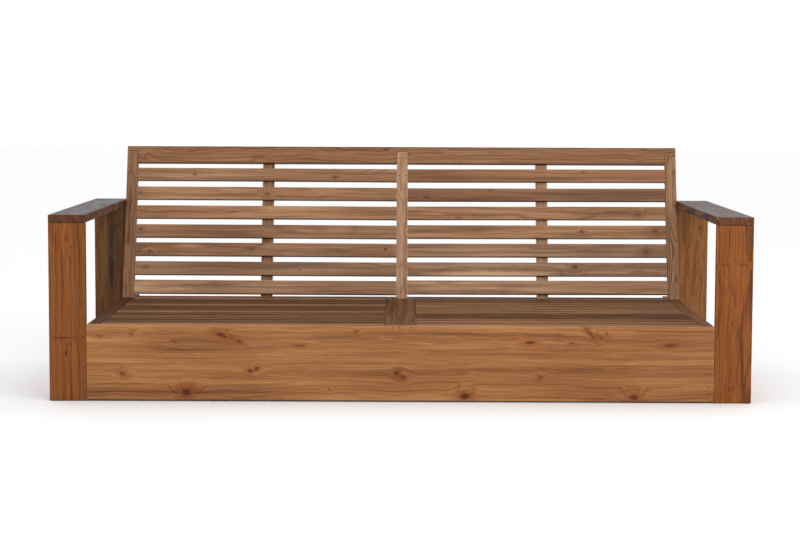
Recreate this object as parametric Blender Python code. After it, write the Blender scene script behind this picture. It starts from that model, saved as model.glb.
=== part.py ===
"""Slatted teak garden seat: a box frame on four flat board legs, with board arms and a leaning back.

Every board is its own object.  X runs along the seat, +Y runs from the front to the back, +Z is up.
The origin is on the floor, at the middle of the footprint.
"""
import math

import bmesh
import bpy
from mathutils import Vector

# ---- driving dimensions, in metres ---------------------------------------------------------------
GAP = 0.0003                # air between two boards that touch
EASE = 0.0015               # small chamfer on every sawn edge
BOARD = 0.026               # thickness of the main boards
SLAT = 0.020                # thickness of slats, strips and battens

WIDTH = 2.250               # over the outer faces of the legs
LEG_WIDTH = 0.118           # the legs and the arms are the same wide board
ARM_TOP = 0.598
ARM_LENGTH = 1.008
REAR_LEG_FRONT = 0.965      # front face of a rear leg, behind the front face of the seat

SEAT_TOP = 0.246
FLOOR_GAP = 0.004           # the apron and the rails stay just clear of the floor
APRON_SET_BACK = 0.001
REAR_RAIL_FRONT = 0.909
EDGE_STRIP = 0.042          # width of the plain strip at each end of the seat
CENTRE_BOARD = 0.104        # width of the plain board in the middle of the seat
BEARER = 0.040              # depth of the hidden boards under the seat slats
CENTRE_BEARER = 0.160

SEAT_SLATS = 12             # on each side of the centre board
SEAT_SLAT_WIDTH = 0.048
SEAT_SLAT_PITCH = 0.0735
SEAT_SLAT_START = 0.030

LEAN = math.radians(16.7)
BACK_FOOT = 0.843           # where the front face of the back meets the seat
BACK_LENGTH = 0.570         # along the lean
STILE = 0.040               # width of the three uprights
CENTRE_SHIFT = 0.003        # the middle upright stands this far right of the centre
TOP_RAIL = 0.062            # height of the top rail along the lean
RAIL_COVER = 0.018          # what the rail keeps above each half-lapped upright

BACK_SLAT_WIDTH = 0.047     # the highest slat; each one below it is a little wider
BACK_SLAT_GROWTH = 0.0005
BACK_SLAT_PITCH = 0.0698
BACK_SLAT_TOP = 0.487       # upper edge of the highest slat, along the lean
BACK_SLAT_DIP = 0.002       # the ends at the middle upright sit this much lower than the outer ends
SLAT_RECESS = 0.001
# Each back slat was set by hand: millimetres off the even pitch, from the highest slat down.
SLATS_LEFT = (0, -1, -2, -3, -1, -1, 0)
SLATS_RIGHT = (0, -2, -1, -1, 0, 0, 3)

BATTEN = 0.042              # width of the upright behind the slats of each half
BATTEN_LEFT = -0.488
BATTEN_RIGHT = 0.514
BATTEN_TOP = 0.545

# ---- derived sizes -------------------------------------------------------------------------------
MM = 0.001
HALF = WIDTH / 2
INSIDE = HALF - LEG_WIDTH - GAP                 # half the clear width between the legs
STRIP_TOP = SEAT_TOP                            # slats, strips and centre board share one surface
STRIP_BOTTOM = SEAT_TOP - SLAT
SLAT_BACK = SLAT_RECESS + SLAT                  # rear face of the back slats, behind the uprights' face
BATTEN_BACK = SLAT_BACK + GAP + SLAT
DEPTH = BACK_FOOT + BATTEN_TOP * math.sin(LEAN) + BATTEN_BACK * math.cos(LEAN)
FRONT = -DEPTH / 2                              # Y of the front face
APRON_BACK = FRONT + APRON_SET_BACK + BOARD
REAR_RAIL_Y = FRONT + REAR_RAIL_FRONT
LEG_BACK = FRONT + REAR_LEG_FRONT + BOARD
RAIL_BOTTOM = BACK_LENGTH - TOP_RAIL
LAP = BOARD / 2                                 # half-lap depth of the uprights in the top rail

# ---- finishes: colour (linear), roughness --------------------------------------------------------
FINISHES = {
    "teak_oiled": ((0.262, 0.110, 0.046), 0.55),
    "teak_apron": ((0.323, 0.147, 0.056), 0.55),
    "teak_slats": ((0.246, 0.119, 0.059), 0.60),
    "teak_seat": ((0.130, 0.068, 0.040), 0.65),
    "teak_weathered": ((0.214, 0.194, 0.185), 0.75),
    "teak_hidden": ((0.178, 0.084, 0.040), 0.70),
}


def clear_scene():
    for item in list(bpy.data.objects):
        bpy.data.objects.remove(item, do_unlink=True)


def finish_for(name):
    """One Principled material for each finish, made when it is first asked for."""
    if name in bpy.data.materials:
        return bpy.data.materials[name]
    colour, roughness = FINISHES[name]
    material = bpy.data.materials.new(name)
    material.use_nodes = True
    shader = material.node_tree.nodes["Principled BSDF"]
    shader.inputs["Base Color"].default_value = (*colour, 1.0)
    shader.inputs["Roughness"].default_value = roughness
    shader.inputs["Metallic"].default_value = 0.0
    return material


def add_object(name, bm, finish, parent=None):
    """Turn a bmesh into a named object with a small chamfer on its edges."""
    bmesh.ops.recalc_face_normals(bm, faces=bm.faces)
    mesh = bpy.data.meshes.new(name)
    bm.to_mesh(mesh)
    bm.free()
    mesh.materials.append(finish_for(finish))
    item = bpy.data.objects.new(name, mesh)
    item.parent = parent
    bpy.context.collection.objects.link(item)
    bevel = item.modifiers.new("eased_edges", "BEVEL")
    bevel.width = EASE
    bevel.segments = 1
    bevel.limit_method = "ANGLE"
    return item


def board(name, low, high, finish, parent=None):
    """A rectangular board between two corners, with its origin at its middle."""
    low, high = Vector(low), Vector(high)
    size = high - low
    bm = bmesh.new()
    bmesh.ops.create_cube(bm, size=1.0)
    bmesh.ops.scale(bm, vec=size, verts=bm.verts)
    item = add_object(name, bm, finish, parent)
    item.location = (low + high) / 2
    return item


def prism(name, outline, start, length, axis, finish, parent=None):
    """A board sawn to an outline.  The outline's two numbers are the other two axes, in XYZ order."""
    bm = bmesh.new()
    ring = []
    for first, second in outline:
        point = [first, second]
        point.insert(axis, start)
        ring.append(bm.verts.new(point))
    face = bm.faces.new(ring)
    swept = bmesh.ops.extrude_face_region(bm, geom=[face])
    moved = [part for part in swept["geom"] if isinstance(part, bmesh.types.BMVert)]
    shift = Vector((0, 0, 0))
    shift[axis] = length
    bmesh.ops.translate(bm, vec=shift, verts=moved)
    return add_object(name, bm, finish, parent)


def both_sides(make):
    """Call make(side name, -1 or +1) for the left and the right of the seat."""
    for side, sign in (("left", -1), ("right", 1)):
        make(side, sign)


def span(sign, near, far):
    """The lower and the higher X of a piece that lies between two distances from the centre."""
    return (near, far) if sign > 0 else (-far, -near)


# ---- the end frames: legs and arms ---------------------------------------------------------------
def make_end(side, sign):
    low, high = span(sign, HALF - LEG_WIDTH, HALF)
    leg_top = ARM_TOP - BOARD - GAP
    board(f"front_leg_{side}", (low, FRONT, 0), (high, FRONT + BOARD, leg_top), "teak_oiled")
    rear = FRONT + REAR_LEG_FRONT
    board(f"rear_leg_{side}", (low, rear, 0), (high, LEG_BACK, leg_top), "teak_oiled")
    board(f"armrest_{side}", (low, FRONT, ARM_TOP - BOARD), (high, FRONT + ARM_LENGTH, ARM_TOP),
          "teak_weathered")


# ---- the seat box --------------------------------------------------------------------------------
def make_seat_box():
    board("front_apron", (-INSIDE, FRONT + APRON_SET_BACK, FLOOR_GAP), (INSIDE, APRON_BACK, SEAT_TOP),
          "teak_apron")
    # The rear rail is notched at its top corners, where the edge strips pass over it.
    outer = INSIDE - BOARD - GAP
    inner = INSIDE - EDGE_STRIP - GAP
    notch = STRIP_BOTTOM - GAP
    outline = [(-outer, FLOOR_GAP), (outer, FLOOR_GAP), (outer, notch), (inner, notch),
               (inner, SEAT_TOP), (-inner, SEAT_TOP), (-inner, notch), (-outer, notch)]
    prism("rear_rail", outline, REAR_RAIL_Y, BOARD, 1, "teak_oiled")


def make_seat_side(side, sign):
    front = APRON_BACK + GAP
    low, high = span(sign, INSIDE - BOARD, INSIDE)
    board(f"side_rail_{side}", (low, front, FLOOR_GAP), (high, LEG_BACK, STRIP_BOTTOM - GAP), "teak_oiled")
    low, high = span(sign, INSIDE - EDGE_STRIP, INSIDE)
    board(f"seat_edge_strip_{side}", (low, front, STRIP_BOTTOM), (high, LEG_BACK, STRIP_TOP), "teak_seat")
    edge = INSIDE - BOARD - GAP
    low, high = span(sign, edge - BEARER, edge)
    top = STRIP_BOTTOM - GAP
    board(f"seat_bearer_{side}", (low, front, top - BEARER), (high, REAR_RAIL_Y - GAP, top), "teak_hidden")


def make_seat_middle():
    front, rear = APRON_BACK + GAP, REAR_RAIL_Y - GAP
    half = CENTRE_BOARD / 2
    board("seat_centre_board", (-half, front, STRIP_BOTTOM), (half, rear, STRIP_TOP), "teak_seat")
    half = CENTRE_BEARER / 2
    top = STRIP_BOTTOM - GAP
    board("seat_bearer_centre", (-half, front, top - BEARER), (half, rear, top), "teak_hidden")


def make_seat_slats(side, sign):
    low, high = span(sign, CENTRE_BOARD / 2 + GAP, INSIDE - EDGE_STRIP - GAP)
    for number in range(SEAT_SLATS):
        front = FRONT + SEAT_SLAT_START + number * SEAT_SLAT_PITCH
        board(f"seat_slat_{side}_{number + 1:02d}", (low, front, STRIP_BOTTOM),
              (high, front + SEAT_SLAT_WIDTH, STRIP_TOP), "teak_seat")


# ---- the back, built upright on an empty that leans it --------------------------------------------
def make_lean():
    """Under this empty X is along the seat, Y is through the boards and Z is up the back."""
    lean = bpy.data.objects.new("back_lean", None)
    lean.location = (0, FRONT + BACK_FOOT, SEAT_TOP)
    lean.rotation_euler = (-LEAN, 0, 0)
    bpy.context.collection.objects.link(lean)
    return lean


def foot(depth):
    """Height along the lean at which a board, this deep behind the face, is sawn level on the seat."""
    return (GAP + depth * math.sin(LEAN)) / math.cos(LEAN)


def make_stile(name, middle, lean):
    """An upright with a half-lap tongue at its head."""
    tongue = LAP - GAP
    shoulder = RAIL_BOTTOM - GAP
    head = BACK_LENGTH - RAIL_COVER - GAP
    outline = [(0, foot(0)), (0, head), (tongue, head), (tongue, shoulder), (BOARD, shoulder),
               (BOARD, foot(BOARD))]
    prism(name, outline, middle - STILE / 2, STILE, 0, "teak_oiled", lean)


def make_top_rail(middles, lean):
    """The rail runs the full width and is cut away in front for the three tongues."""
    size = Vector((2 * INSIDE, BOARD, TOP_RAIL))
    bm = bmesh.new()
    bmesh.ops.create_cube(bm, size=1.0)
    bmesh.ops.scale(bm, vec=size, verts=bm.verts)
    rail = add_object("back_top_rail", bm, "teak_oiled", lean)
    rail.location = (0, BOARD / 2, BACK_LENGTH - TOP_RAIL / 2)
    bevel = rail.modifiers[0]
    for number, middle in enumerate(middles):
        cutter = make_lap_cutter(f"lap_cutter_{number + 1}", middle, lean)
        cut = rail.modifiers.new(f"lap_{number + 1}", "BOOLEAN")
        cut.operation = "DIFFERENCE"
        cut.solver = "EXACT"
        cut.object = cutter
    rail.modifiers.move(rail.modifiers.find(bevel.name), len(rail.modifiers) - 1)


def make_lap_cutter(name, middle, lean):
    """The space of one tongue; it runs on through the front and the lower edge of the rail."""
    spare = 0.010
    top = BACK_LENGTH - RAIL_COVER
    low = Vector((middle - STILE / 2 - GAP, -spare, RAIL_BOTTOM - spare))
    high = Vector((middle + STILE / 2 + GAP, LAP, top))
    bm = bmesh.new()
    bmesh.ops.create_cube(bm, size=1.0)
    bmesh.ops.scale(bm, vec=high - low, verts=bm.verts)
    mesh = bpy.data.meshes.new(name)
    bm.to_mesh(mesh)
    bm.free()
    cutter = bpy.data.objects.new(name, mesh)
    cutter.parent = lean
    cutter.location = (low + high) / 2
    cutter.hide_render = True
    cutter.display_type = "WIRE"
    bpy.context.collection.objects.link(cutter)
    return cutter


def make_back_slats(side, low, high, nudges, lean):
    dip = math.atan(BACK_SLAT_DIP / (high - low))
    for number, nudge in enumerate(nudges):
        top = BACK_SLAT_TOP - number * BACK_SLAT_PITCH + nudge * MM
        bottom = top - BACK_SLAT_WIDTH - number * BACK_SLAT_GROWTH
        slat = board(f"back_slat_{side}_{number + 1}", (low, SLAT_RECESS, bottom), (high, SLAT_BACK, top),
                     "teak_slats", lean)
        slat.rotation_euler.y = dip if side == "left" else -dip


def make_batten(name, middle, lean):
    """An upright behind the slats; its head steps back over the rear face of the top rail."""
    near, far, over = SLAT_BACK + GAP, BATTEN_BACK, BOARD + GAP
    step = RAIL_BOTTOM - GAP
    outline = [(near, foot(near)), (near, step), (over, step), (over, BATTEN_TOP), (far, BATTEN_TOP),
               (far, foot(far))]
    prism(name, outline, middle - BATTEN / 2, BATTEN, 0, "teak_hidden", lean)


def make_back():
    lean = make_lean()
    end = INSIDE - STILE / 2
    make_stile("back_stile_left", -end, lean)
    make_stile("back_stile_centre", CENTRE_SHIFT, lean)
    make_stile("back_stile_right", end, lean)
    make_top_rail((-end, CENTRE_SHIFT, end), lean)
    outer = INSIDE - STILE - GAP
    inner = STILE / 2 + GAP
    make_back_slats("left", -outer, CENTRE_SHIFT - inner, SLATS_LEFT, lean)
    make_back_slats("right", CENTRE_SHIFT + inner, outer, SLATS_RIGHT, lean)
    make_batten("back_batten_left", BATTEN_LEFT, lean)
    make_batten("back_batten_right", BATTEN_RIGHT, lean)


def main():
    clear_scene()
    both_sides(make_end)
    make_seat_box()
    both_sides(make_seat_side)
    make_seat_middle()
    both_sides(make_seat_slats)
    make_back()


main()
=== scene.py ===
# %% [markdown]
# # A slatted teak garden seat
#
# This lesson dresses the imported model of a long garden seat: four flat board legs, two board arms,
# a deep apron, a slatted seat and a slatted back that leans.  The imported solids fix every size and
# place.  What is made here is what a joiner and a few summers give such a seat: rounded arrises,
# growth rings that run through each board, knots, plugs over the screws, and a grey bloom on the
# tops of the arms.

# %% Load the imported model
import math
import random

import bmesh
import bpy
from mathutils import Euler, Matrix, Vector


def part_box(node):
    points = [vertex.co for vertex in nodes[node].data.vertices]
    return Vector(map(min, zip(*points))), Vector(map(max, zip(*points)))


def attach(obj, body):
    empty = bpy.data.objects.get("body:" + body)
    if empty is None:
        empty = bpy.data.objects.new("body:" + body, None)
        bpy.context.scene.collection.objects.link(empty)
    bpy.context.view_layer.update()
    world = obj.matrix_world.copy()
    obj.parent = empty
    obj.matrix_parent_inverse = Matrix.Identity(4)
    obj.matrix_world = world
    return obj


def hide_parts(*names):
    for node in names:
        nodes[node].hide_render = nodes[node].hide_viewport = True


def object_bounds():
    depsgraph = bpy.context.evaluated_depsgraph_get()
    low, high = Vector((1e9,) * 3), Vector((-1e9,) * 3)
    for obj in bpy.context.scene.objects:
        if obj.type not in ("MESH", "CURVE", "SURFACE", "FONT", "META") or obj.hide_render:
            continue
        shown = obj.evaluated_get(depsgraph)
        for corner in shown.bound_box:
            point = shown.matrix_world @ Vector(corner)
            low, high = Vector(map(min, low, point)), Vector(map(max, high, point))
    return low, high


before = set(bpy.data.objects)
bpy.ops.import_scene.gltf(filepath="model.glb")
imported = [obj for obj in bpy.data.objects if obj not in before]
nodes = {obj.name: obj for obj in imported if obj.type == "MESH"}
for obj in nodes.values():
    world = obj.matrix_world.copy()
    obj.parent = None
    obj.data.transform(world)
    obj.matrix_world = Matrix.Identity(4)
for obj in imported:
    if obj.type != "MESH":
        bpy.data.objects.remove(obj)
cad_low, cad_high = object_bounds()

MM = 0.001
print(f"{len(nodes)} boards, {[round(v, 3) for v in cad_high - cad_low]} m overall")

# %% [markdown]
# ## Two small helpers
#
# Colours are written as sRGB hex, as a paint chart gives them, and one function turns them into the
# linear values that shaders use.  One function adds a node of any kind: its own properties are
# keyword settings, and its inputs are either values or the sockets that feed them.  Writing this
# once keeps each material and each tree short enough to read from top to bottom.

# %% Colours and nodes


def linear(hex_colour):
    """sRGB hex such as "#a0703c" to a linear RGBA tuple."""
    parts = [int(hex_colour[i:i + 2], 16) / 255 for i in (1, 3, 5)]
    return (*[c / 12.92 if c <= 0.04045 else ((c + 0.055) / 1.055) ** 2.4 for c in parts], 1.0)


def add(tree, kind, inputs=None, **settings):
    """Add one node with its settings, its input values and its links."""
    node = tree.nodes.new(kind)
    for name, value in settings.items():
        setattr(node, name, value)
    for socket, value in (inputs or {}).items():
        if isinstance(value, bpy.types.NodeSocket):
            tree.links.new(value, node.inputs[socket])
        else:
            node.inputs[socket].default_value = value
    return node


# %% [markdown]
# ## Camera
#
# The seat is seen almost square on, from about waist height, looking a little down and with a long
# lens, so the two ends look alike and the arms narrow only a little towards the back.  The camera is
# set from its distance, its height and three small angles.  It could also track an empty at the
# seat's middle, but plain numbers are easier to compare with a real tripod.

# %% Camera
LENS = 90.0
CAMERA_DISTANCE = 6.357     # from the front face of the seat
CAMERA_HEIGHT = 0.982
CAMERA_SIDE = 0.008
PITCH, ROLL, YAW = 0.08555, 0.0039, 0.00195

lens = bpy.data.cameras.new("camera")
lens.lens = LENS
lens.sensor_width = 36.0
camera = bpy.data.objects.new("camera", lens)
camera.location = (CAMERA_SIDE, cad_low.y - CAMERA_DISTANCE, CAMERA_HEIGHT)
camera.rotation_euler = Euler((math.pi / 2 - PITCH, -ROLL, YAW))
bpy.context.collection.objects.link(camera)
bpy.context.scene.camera = camera
print("camera at", [round(v, 3) for v in camera.location])

# %% [markdown]
# ## Reading a board
#
# Every solid is one sawn board, so its longest side is its grain, its middle side is its width and
# its shortest is its thickness.  The boards of the back lean, so they are measured in a frame that
# leans with them.  Knowing these three directions is what lets one material run its growth rings the
# right way through every board.  The other way, a mapping set by hand for each of sixty boards,
# would be long and easy to get wrong.

# %% Measure a board
LEAN = math.radians(16.7)
upright = Matrix.Identity(3)
leaning = Matrix.Rotation(-LEAN, 3, "X")


def measure(name):
    """Middle, size and directions of a board, in the order along, across and through."""
    turn = leaning if name.startswith("back_") else upright
    corners = [turn.transposed() @ vertex.co for vertex in nodes[name].data.vertices]
    low = Vector([min(corner[axis] for corner in corners) for axis in range(3)])
    high = Vector([max(corner[axis] for corner in corners) for axis in range(3)])
    size = high - low
    order = sorted(range(3), key=lambda axis: -size[axis])
    return {
        "middle": turn @ ((low + high) / 2),
        "size": [size[axis] for axis in order],
        "axes": [Vector(turn.col[axis]) for axis in order],
    }


for sample in ("front_leg_left", "front_apron", "back_stile_centre"):
    print(sample, [round(side / MM) for side in measure(sample)["size"]], "mm")

# %% [markdown]
# ## Storing the grain on a mesh
#
# Four attributes go on the mesh of each board.  *grain* is the place in the board, along, across and
# through it.  *log* says where in the trunk the board was sawn, so no two boards share their rings.
# *tint* is the board's own colour, and *arris* is 1 along the rounded edges, where hands and rain
# wear the wood.  The slats are made another way, further down, and carry a few of their own.  A UV
# map would hold two numbers only; wood is a solid pattern and needs three.

# %% Store the attributes
NEAR_EDGE = 3 * MM
picker = random.Random(7)


def sawn_from(heart, side=None):
    """A place in the trunk: how far its heart lies under the board and to the side, in metres."""
    if side is None:
        side = picker.choice((-1, 1)) * picker.uniform(0.4, 1.0) * heart
    return (picker.uniform(0, 60), side, heart)


def store(mesh, name, kind, values):
    attribute = mesh.attributes.new(name, kind, "POINT")
    width = {"FLOAT": ("value", 1), "FLOAT_VECTOR": ("vector", 3), "FLOAT_COLOR": ("color", 4)}
    field, count = width[kind]
    flat = [number for value in values for number in (value if count > 1 else (value,))]
    attribute.data.foreach_set(field, flat)


def store_grain(mesh, board, tint, log, middle=None):
    """Write the four attributes; middle is given where a glued board is only a part of the solid."""
    places, worn = [], []
    for vertex in mesh.vertices:
        from_board = vertex.co - board["middle"]
        near = sum(abs(from_board.dot(axis)) > side / 2 - NEAR_EDGE
                   for axis, side in zip(board["axes"], board["size"]))
        worn.append(1.0 if near > 1 else 0.0)
        from_middle = vertex.co - (middle or board["middle"])
        places.append([from_middle.dot(axis) for axis in board["axes"]])
    count = len(mesh.vertices)
    store(mesh, "grain", "FLOAT_VECTOR", places)
    store(mesh, "arris", "FLOAT", worn)
    store(mesh, "tint", "FLOAT_COLOR", [linear(tint)] * count)
    store(mesh, "log", "FLOAT_VECTOR", [log] * count)


# %% [markdown]
# ## Rounding the arrises
#
# A sawn edge on garden furniture is eased with a plane and then with abrasive paper.  The packed
# boards carry a small flat chamfer.  A copy of each is merged into a clean shape, its chamfer is
# rounded with a fine bevel, and each broad face gets a narrow rim, so that smooth shading bends
# only along the edges and the faces stay flat.  Building the boards again from numbers would work
# too, but a copy can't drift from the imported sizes.

# %% Copy a board and round it
FINE_BEVEL = 0.55 * MM
RIM = 3.2 * MM
CREASE = math.radians(20)
pieces = []


def rounded(name):
    """A bmesh of a packed board with rounded arrises."""
    bm = bmesh.new()
    bm.from_mesh(nodes[name].data)
    bmesh.ops.remove_doubles(bm, verts=bm.verts, dist=0.01 * MM)
    bmesh.ops.dissolve_limit(bm, angle_limit=math.radians(1), verts=bm.verts, edges=bm.edges)
    creased = [edge for edge in bm.edges if edge.calc_face_angle(0) > CREASE]
    bmesh.ops.bevel(bm, geom=creased, offset=FINE_BEVEL, segments=2, profile=0.5, affect="EDGES")
    return bm


def add_rims(bm):
    """Inset every face that is wide enough to hold a rim on both sides."""
    broad = [face for face in bm.faces if face.calc_area() / (face.calc_perimeter() / 2) > 2.2 * RIM]
    bmesh.ops.inset_individual(bm, faces=broad, thickness=RIM)


def finish_piece(name, mesh, material, slot, *stands_for):
    """Turn a mesh into a piece that rides on the seat and stands for its packed boards."""
    mesh.materials.clear()
    mesh.materials.append(material)
    piece = bpy.data.objects.new(name, mesh)
    bpy.context.collection.objects.link(piece)
    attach(piece, "root")
    if stands_for:
        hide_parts(*stands_for)
    pieces.append(piece)
    return piece


def dress(name, material, slot, tint, heart, side=None):
    """Make the finished piece of one packed board."""
    bm = rounded(name)
    add_rims(bm)
    mesh = bpy.data.meshes.new(name + "_finished")
    bm.to_mesh(mesh)
    bm.free()
    mesh.shade_smooth()
    store_grain(mesh, measure(name), tint, sawn_from(heart, side))
    return finish_piece(name + "_finished", mesh, material, slot, name)


# %% [markdown]
# ## Teak
#
# Teak is a ring-porous hardwood.  Planed and oiled it is golden brown, with thin darker lines where
# one year's growth ends, darker bands in the heartwood and short open pores.  It is made here as a
# solid: the distance from the heart of the trunk gives the rings, the heart wanders a little, and
# where a flat face cuts the rings they draw long lines and pointed arches without any further work.
# A flat image of wood stretched over the boards would slide over the edges and repeat.

# %% Ramps and slow drifts


def set_ramp(node, stops):
    """Give a colour ramp its stops, as (place, sRGB hex)."""
    ramp = node.color_ramp
    while len(ramp.elements) < len(stops):
        ramp.elements.new(0.5)
    for element, (place, colour) in zip(ramp.elements, stops):
        element.position = place
        element.color = linear(colour)


def drifted(tree, value, along, scale, amount, detail=1.0):
    """Add up to the amount to a value, by a smooth noise that depends on one number only."""
    noise = add(tree, "ShaderNodeTexNoise", {"W": along, "Scale": scale, "Detail": detail},
                noise_dimensions="1D").outputs["Fac"]
    return add(tree, "ShaderNodeMath", {0: noise, 1: amount, 2: value}, operation="MULTIPLY_ADD").outputs[0]


# %% Growth rings
HEART_TURNS = (1.1, 2.1)    # how often the heart wanders across and through, per metre
WAVES = (7, 60, 60)         # small waves in a ring line, per metre along, across and through
WAVE_HEIGHT = 1.6           # in ring widths
GOOD_YEARS = 4.0            # in ring widths, how far runs of fat and lean years shift the rings


def growth_rings(tree, place, bulge, ring_width, drift, calm):
    """0 in the pale early wood and 1 in the dark late wood; bulge lifts the rings over the knots."""
    part = add(tree, "ShaderNodeSeparateXYZ", {0: place}).outputs
    across, through = [drifted(tree, part[side], part["X"], turns, drift)
                       for side, turns in zip("YZ", HEART_TURNS)]
    cross = add(tree, "ShaderNodeCombineXYZ", {"Y": across, "Z": through})
    radius = add(tree, "ShaderNodeVectorMath", {0: cross.outputs[0]}, operation="LENGTH").outputs["Value"]
    if bulge is not None:
        radius = add(tree, "ShaderNodeMath", {0: radius, 1: bulge}, operation="ADD").outputs[0]
    years = add(tree, "ShaderNodeMath", {0: radius, 1: 1 / ring_width}, operation="MULTIPLY").outputs[0]
    years = drifted(tree, years, radius, 1 / (5 * ring_width), GOOD_YEARS)
    stretch = (WAVES[0] / calm, WAVES[1], WAVES[2])
    stretched = add(tree, "ShaderNodeVectorMath", {0: place, 1: stretch}, operation="MULTIPLY")
    wavy = add(tree, "ShaderNodeTexNoise", {"Vector": stretched.outputs[0], "Scale": 1.0, "Detail": 3.0})
    years = add(tree, "ShaderNodeMath", {0: wavy.outputs["Fac"], 1: WAVE_HEIGHT / calm, 2: years},
                operation="MULTIPLY_ADD").outputs[0]
    season = add(tree, "ShaderNodeMath", {0: years}, operation="FRACT").outputs[0]
    late = add(tree, "ShaderNodeValToRGB", {"Fac": season})
    set_ramp(late, ((0.0, "#101010"), (0.40, "#303030"), (0.78, "#ffffff"), (1.0, "#101010")))
    dark_years = add(tree, "ShaderNodeTexNoise", {
        "W": radius, "Scale": 1 / (2.2 * ring_width), "Detail": 0.0}, noise_dimensions="1D")
    strength = add(tree, "ShaderNodeMapRange", {"Value": dark_years.outputs["Fac"], "From Min": 0.3,
                                                "From Max": 0.75, "To Min": 0.15, "To Max": 1.4})
    return add(tree, "ShaderNodeMath", {0: late.outputs["Color"], 1: strength.outputs[0]},
               operation="MULTIPLY").outputs[0]


# %% [markdown]
# ## Knots
#
# A knot is the root of a branch.  The rings swell over it, so the lines close round it and part
# before it, and its own wood is dark and hard with small checks.  A knot is a place on the board, a
# size, a stretch along the grain, a turn and a darkness.  The knots of the apron, the legs and the
# top rail are listed one by one, because they are what the eye finds first; a back slat carries up to
# two of its own as attributes.  A noise made of round cells would scatter knots too, but never where
# they belong.

# %% One knot
RAGGED = 11 * MM            # the full swing of the shake, from side to side


def ragged(tree, grain):
    """The place in the board, shaken a little, so that no knot has a smooth outline."""
    shake = add(tree, "ShaderNodeTexNoise", {"Vector": grain, "Scale": 140.0, "Detail": 2.0}).outputs["Color"]
    shake = add(tree, "ShaderNodeVectorMath", {0: shake, 1: (0.5, 0.5, 0.5)}, operation="SUBTRACT").outputs[0]
    shake = add(tree, "ShaderNodeVectorMath", {0: shake, "Scale": RAGGED}, operation="SCALE").outputs[0]
    return add(tree, "ShaderNodeVectorMath", {0: grain, 1: shake}, operation="ADD").outputs[0]


def one_knot(tree, near, lift, darkness):
    """Bulge, eye, halo and sideways push of a knot, from the place measured in knot radii."""
    reach = add(tree, "ShaderNodeVectorMath", {0: near}, operation="LENGTH").outputs["Value"]
    spans = ((0.0, 4.5, lift, "SMOOTHERSTEP"), (0.35, 1.15, darkness, "SMOOTHSTEP"),
             (0.7, 3.0, darkness, "SMOOTHSTEP"))
    knot = [add(tree, "ShaderNodeMapRange", {"Value": reach, "From Min": start, "From Max": end,
                                             "To Min": height, "To Max": 0.0},
                interpolation_type=shape).outputs[0] for start, end, height, shape in spans]
    beside = add(tree, "ShaderNodeSeparateXYZ", {0: near}).outputs["Y"]
    return knot + [add(tree, "ShaderNodeMath", {0: beside, 1: knot[0]}, operation="MULTIPLY").outputs[0]]


def merge(tree, first, second):
    """Add the bulges and pushes of two sets of knots, and keep the darker eye and halo."""
    if first is None:
        return second
    ways = ("ADD", "MAXIMUM", "MAXIMUM", "ADD")
    return [add(tree, "ShaderNodeMath", {0: one, 1: two}, operation=way).outputs[0]
            for one, two, way in zip(first, second, ways)]


# %% All the knots of a board
DEEP = 1000.0               # a knot runs right through its board, so its depth never counts


def knot_field(tree, grain, knots):
    """A knot is (along, across, radius in mm, stretch, turn in degrees, darkness)."""
    field = None
    shaken = ragged(tree, grain)
    for along, across, radius, stretch, turn, darkness in knots:
        near = add(tree, "ShaderNodeMapping", {
            "Vector": shaken, "Location": (along, across, 0), "Rotation": (0, 0, math.radians(turn)),
            "Scale": (radius * MM * stretch, radius * MM, DEEP)}, vector_type="TEXTURE").outputs[0]
        lift = 2.0 * radius * MM * min(1.0, stretch)
        field = merge(tree, field, one_knot(tree, near, lift, darkness))
    return field


def carried_knots(tree, grain, names):
    """The same, for knots that a mesh carries as attributes: along, across and radius in metres."""
    field = None
    shaken = ragged(tree, grain)
    for name in names:
        knot = add(tree, "ShaderNodeAttribute", attribute_name=name).outputs["Vector"]
        part = add(tree, "ShaderNodeSeparateXYZ", {0: knot}).outputs
        centre = add(tree, "ShaderNodeCombineXYZ", {"X": part["X"], "Y": part["Y"]}).outputs[0]
        near = add(tree, "ShaderNodeVectorMath", {0: shaken, 1: centre}, operation="SUBTRACT").outputs[0]
        near = add(tree, "ShaderNodeVectorMath", {0: near, 1: (0.6, 1, 0)}, operation="MULTIPLY").outputs[0]
        size = add(tree, "ShaderNodeMath", {0: part["Z"], 1: 0.1 * MM}, operation="MAXIMUM").outputs[0]
        inverse = add(tree, "ShaderNodeMath", {0: 1.0, 1: size}, operation="DIVIDE").outputs[0]
        near = add(tree, "ShaderNodeVectorMath", {0: near, "Scale": inverse}, operation="SCALE").outputs[0]
        lift = add(tree, "ShaderNodeMath", {0: size, 1: 1.8}, operation="MULTIPLY").outputs[0]
        field = merge(tree, field, one_knot(tree, near, lift, 0.75))
    return field


# %% [markdown]
# ## Streaks and stains
#
# Everything else in the wood is a noise drawn out along the grain: fibres, slow bands, duller
# heartwood, flecks of mineral.  Three helpers are enough.  One draws the noise, one makes straight
# grain sway, and one stains the wood where a value is high, from nothing to a given amount.  Painting
# the marks by hand would be nearer to one board, but it would have to be done for every board.

# %% Streaks, sway and stain


def streaks(tree, place, along, across, detail):
    """Noise drawn out along the grain: feature length and width in metres."""
    scaled = add(tree, "ShaderNodeVectorMath", {0: place, 1: (1 / along, 1 / across, 1 / across)},
                 operation="MULTIPLY")
    return add(tree, "ShaderNodeTexNoise", {"Vector": scaled.outputs[0], "Scale": 1.0, "Detail": detail,
                                            "Roughness": 0.65}).outputs["Fac"]


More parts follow.
